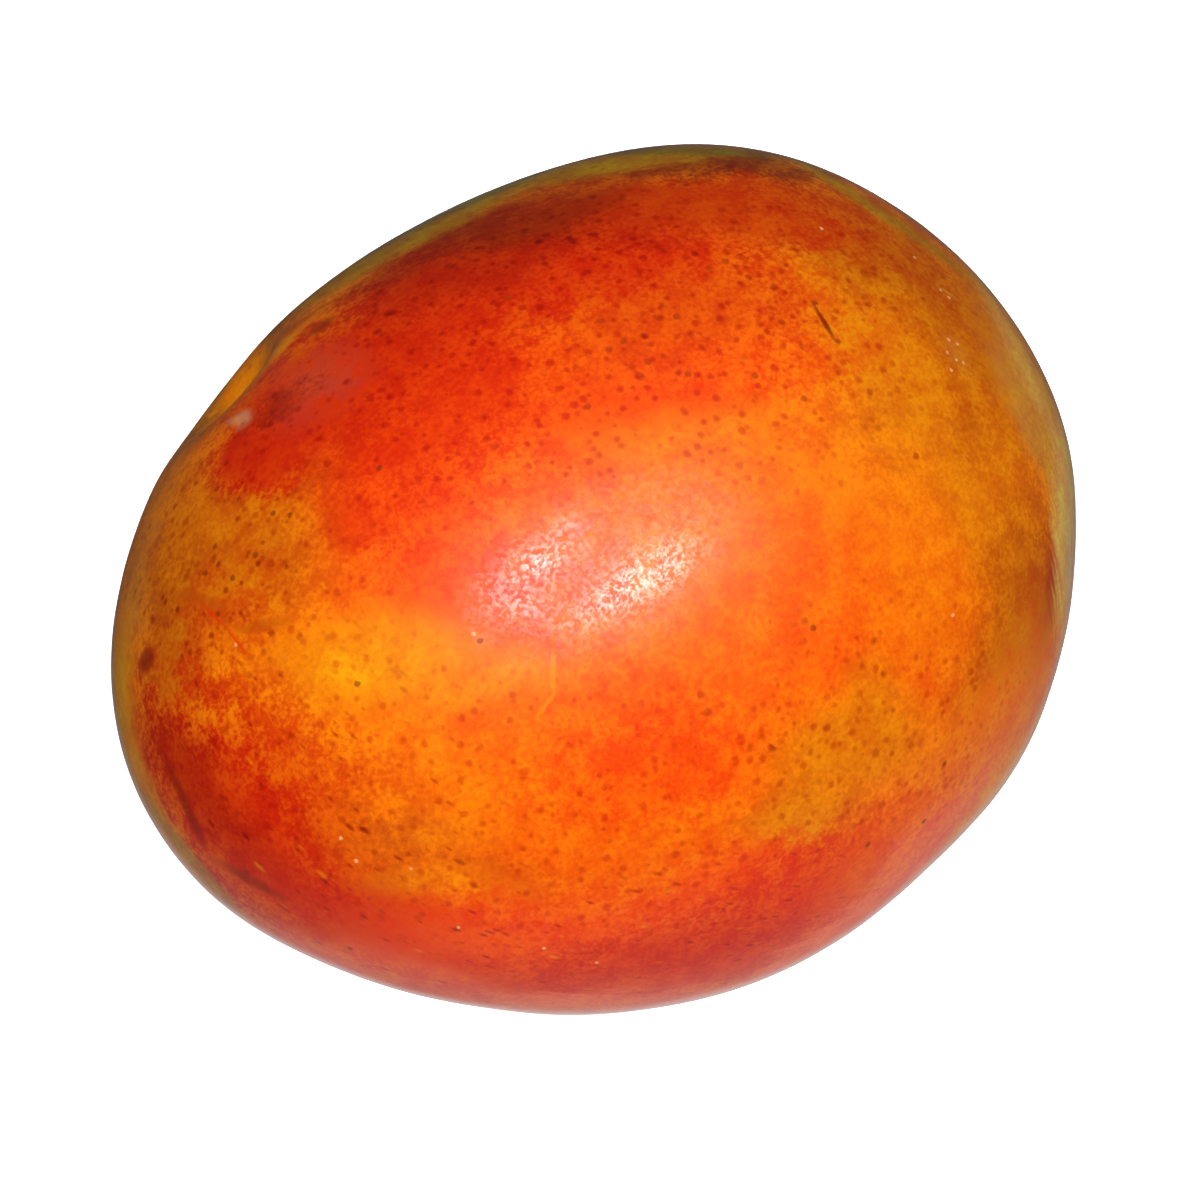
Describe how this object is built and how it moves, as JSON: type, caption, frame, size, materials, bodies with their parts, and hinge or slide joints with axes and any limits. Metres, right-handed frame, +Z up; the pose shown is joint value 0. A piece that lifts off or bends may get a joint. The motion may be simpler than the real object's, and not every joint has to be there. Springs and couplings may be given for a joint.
{
  "type": "mango",
  "caption": "Whole ripe mango with a red and orange skin and a small stem basin, lying on its flatter cheek.",
  "frame": {"origin": "middle of the fruit's footprint box, on the surface that it lies on", "axes": "+X along the longest way across, towards the blossom end, with the stem basin on the -X side; +Y across the fruit; +Z up, through the flatter cheeks"},
  "size_m": [0.1216, 0.098, 0.0861],
  "materials": {
    "mango_skin": "satin"
  },
  "bodies": {
    "root": {"mango_fruit": "mango_skin"}
  },
  "joints": []
}
